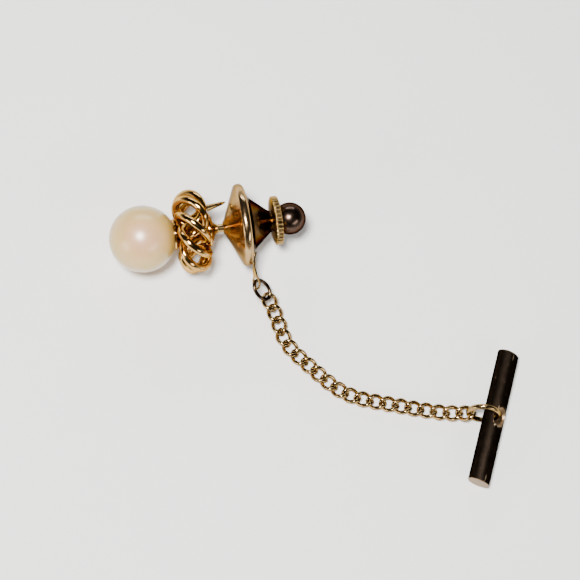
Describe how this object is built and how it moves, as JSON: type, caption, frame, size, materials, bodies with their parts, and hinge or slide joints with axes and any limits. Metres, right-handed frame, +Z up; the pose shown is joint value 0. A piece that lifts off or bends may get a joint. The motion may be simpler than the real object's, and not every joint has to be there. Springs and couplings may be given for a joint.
{
  "type": "tie tack",
  "caption": "Pearl tie tack on a love-knot wire ring with a pin and spur, a pull-to-release ball-lock clutch, and a curb chain ending in a toggle bar.",
  "frame": {"origin": "point on the post's axis at the back plate's rear face, where the post leaves it", "axes": "+X along the post from the pearl towards the clutch, +Z up, +Y to the side the chain leads away from"},
  "size_m": [0.0468, 0.0403, 0.0101],
  "materials": {
    "pearl": "lustrous nacre",
    "gold_polished": "polished gold plate",
    "clutch_metal": "dark polished gold plate",
    "gold_trim": "polished gold plate",
    "steel": "plain steel",
    "chain_gold": "polished gold plate",
    "dark_metal": "fine brushed dark plate"
  },
  "bodies": {
    "head": {"pearl": "pearl", "pearl_cup": "gold_polished", "knot_loop_1": "gold_polished", "knot_loop_2": "gold_polished", "knot_loop_3": "gold_polished", "back_plate": "gold_polished", "post": "gold_polished", "spur": "gold_polished"},
    "wedge": {"race": "steel"},
    "shell": {"housing": "clutch_metal", "nose_plate": "clutch_metal", "chain_tab": "gold_trim"},
    "knob": {"cage_tube": "gold_trim", "lock_ball_1": "steel", "lock_ball_2": "steel", "lock_ball_3": "steel", "lock_spring": "steel", "knurled_ring": "gold_trim", "ball_cap": "clutch_metal", "cap_bush": "gold_trim"},
    "first_link": {"tab_link": "dark_metal"},
    "link_01": {"chain_link_01": "chain_gold"},
    "link_02": {"chain_link_02": "chain_gold"},
    "link_03": {"chain_link_03": "chain_gold"},
    "link_04": {"chain_link_04": "chain_gold"},
    "link_05": {"chain_link_05": "chain_gold"},
    "link_06": {"chain_link_06": "chain_gold"},
    "link_07": {"chain_link_07": "chain_gold"},
    "link_08": {"chain_link_08": "chain_gold"},
    "link_09": {"chain_link_09": "chain_gold"},
    "link_10": {"chain_link_10": "chain_gold"},
    "link_11": {"chain_link_11": "chain_gold"},
    "link_12": {"chain_link_12": "chain_gold"},
    "link_13": {"chain_link_13": "chain_gold"},
    "link_14": {"chain_link_14": "chain_gold"},
    "link_15": {"chain_link_15": "chain_gold"},
    "link_16": {"chain_link_16": "chain_gold"},
    "link_17": {"chain_link_17": "chain_gold"},
    "link_18": {"chain_link_18": "chain_gold"},
    "link_19": {"chain_link_19": "chain_gold"},
    "link_20": {"chain_link_20": "chain_gold"},
    "ring": {"bar_ring": "chain_gold"},
    "bar": {"toggle_bar": "dark_metal"}
  },
  "joints": [
    {"name": "clutch_slide", "type": "slide", "parent": "head", "child": "wedge", "axis": [1, 0, 0], "range_m": [-0.0002, 0.0098]},
    {"name": "clutch_turn", "type": "hinge", "parent": "wedge", "child": "shell", "pos_m": [0.003, 0, 0], "axis": [1, 0, 0], "continuous": true},
    {"name": "release_pull", "type": "slide", "parent": "shell", "child": "knob", "axis": [1, 0, 0], "range_m": [0, 0.0008], "stiffness_N_per_m": 400, "springref_m": -0.0008, "deforming": ["lock_spring"]},
    {"name": "tab_swing", "type": "hinge", "parent": "shell", "child": "first_link", "pos_m": [0.00417, -0.00659, -0.00212], "axis": [0.9114, 0.1203, -0.3935], "range_deg": [-35, 35]},
    {"name": "link_swing_01", "type": "hinge", "parent": "first_link", "child": "link_01", "pos_m": [0.00537, -0.00834, -0.00306], "axis": [0.6907, 0.6469, -0.3232], "range_deg": [-17, 5]},
    {"name": "link_swing_02", "type": "hinge", "parent": "link_01", "child": "link_02", "pos_m": [0.00583, -0.00974, -0.00352], "axis": [0.0936, -0.2863, 0.9536], "range_deg": [-22, 22]},
    {"name": "link_swing_03", "type": "hinge", "parent": "link_02", "child": "link_03", "pos_m": [0.00619, -0.01119, -0.00395], "axis": [-0.9696, -0.2446, 0], "range_deg": [-22, 19]},
    {"name": "link_swing_04", "type": "hinge", "parent": "link_03", "child": "link_04", "pos_m": [0.00641, -0.01269, -0.00425], "axis": [-0.0271, 0.1911, -0.9812], "range_deg": [-15, 22]},
    {"name": "link_swing_05", "type": "hinge", "parent": "link_04", "child": "link_05", "pos_m": [0.00681, -0.01418, -0.00439], "axis": [0.9653, 0.2613, 0], "range_deg": [-10, 19]},
    {"name": "link_swing_06", "type": "hinge", "parent": "link_05", "child": "link_06", "pos_m": [0.0076, -0.01552, -0.00442], "axis": [0.0079, -0.0134, 0.9999], "range_deg": [-22, 18]},
    {"name": "link_swing_07", "type": "hinge", "parent": "link_06", "child": "link_07", "pos_m": [0.00856, -0.01673, -0.00442], "axis": [-0.7804, -0.6252, 0], "range_deg": [-22, 22]},
    {"name": "link_swing_08", "type": "hinge", "parent": "link_07", "child": "link_08", "pos_m": [0.00953, -0.01794, -0.00442], "axis": [0, 0, -1], "range_deg": [-22, 22]},
    {"name": "link_swing_09", "type": "hinge", "parent": "link_08", "child": "link_09", "pos_m": [0.0105, -0.01915, -0.00442], "axis": [0.7804, 0.6252, 0], "range_deg": [-22, 22]},
    {"name": "link_swing_10", "type": "hinge", "parent": "link_09", "child": "link_10", "pos_m": [0.01153, -0.02031, -0.00442], "axis": [0, 0, 1], "range_deg": [-22, 19]},
    {"name": "link_swing_11", "type": "hinge", "parent": "link_10", "child": "link_11", "pos_m": [0.01271, -0.02132, -0.00442], "axis": [-0.6477, -0.7619, 0], "range_deg": [-20, 21]},
    {"name": "link_swing_12", "type": "hinge", "parent": "link_11", "child": "link_12", "pos_m": [0.01405, -0.02209, -0.00442], "axis": [0, 0, -1], "range_deg": [-19, 22]},
    {"name": "link_swing_13", "type": "hinge", "parent": "link_12", "child": "link_13", "pos_m": [0.01549, -0.02267, -0.00442], "axis": [0.3695, 0.9292, 0], "range_deg": [-22, 22]},
    {"name": "link_swing_14", "type": "hinge", "parent": "link_13", "child": "link_14", "pos_m": [0.01695, -0.02317, -0.00442], "axis": [0, 0, 1], "range_deg": [-22, 22]},
    {"name": "link_swing_15", "type": "hinge", "parent": "link_14", "child": "link_15", "pos_m": [0.01842, -0.02368, -0.00442], "axis": [-0.3272, -0.9449, 0], "range_deg": [-22, 22]},
    {"name": "link_swing_16", "type": "hinge", "parent": "link_15", "child": "link_16", "pos_m": [0.01988, -0.02419, -0.00442], "axis": [0, 0, -1], "range_deg": [-22, 22]},
    {"name": "link_swing_17", "type": "hinge", "parent": "link_16", "child": "link_17", "pos_m": [0.02135, -0.02469, -0.00442], "axis": [0.3245, 0.9459, 0], "range_deg": [-22, 22]},
    {"name": "link_swing_18", "type": "hinge", "parent": "link_17", "child": "link_18", "pos_m": [0.02282, -0.02517, -0.00442], "axis": [0, 0, 1], "range_deg": [-22, 22]},
    {"name": "link_swing_19", "type": "hinge", "parent": "link_18", "child": "link_19", "pos_m": [0.02431, -0.02559, -0.0043], "axis": [-0.2778, -0.9606, 0], "range_deg": [-22, 18]},
    {"name": "link_swing_20", "type": "hinge", "parent": "link_19", "child": "link_20", "pos_m": [0.02577, -0.02597, -0.00395], "axis": [0.2188, -0.0563, -0.9741], "range_deg": [-21, 22]},
    {"name": "ring_swing", "type": "hinge", "parent": "link_20", "child": "ring", "pos_m": [0.02743, -0.02636, -0.00332], "axis": [0.4056, 0.5916, -0.6968], "range_deg": [-14, 13]},
    {"name": "bar_swing", "type": "hinge", "parent": "ring", "child": "bar", "pos_m": [0.02973, -0.02719, -0.00365], "axis": [0.4123, -0.1947, 0.89], "range_deg": [-35, 35]}
  ]
}
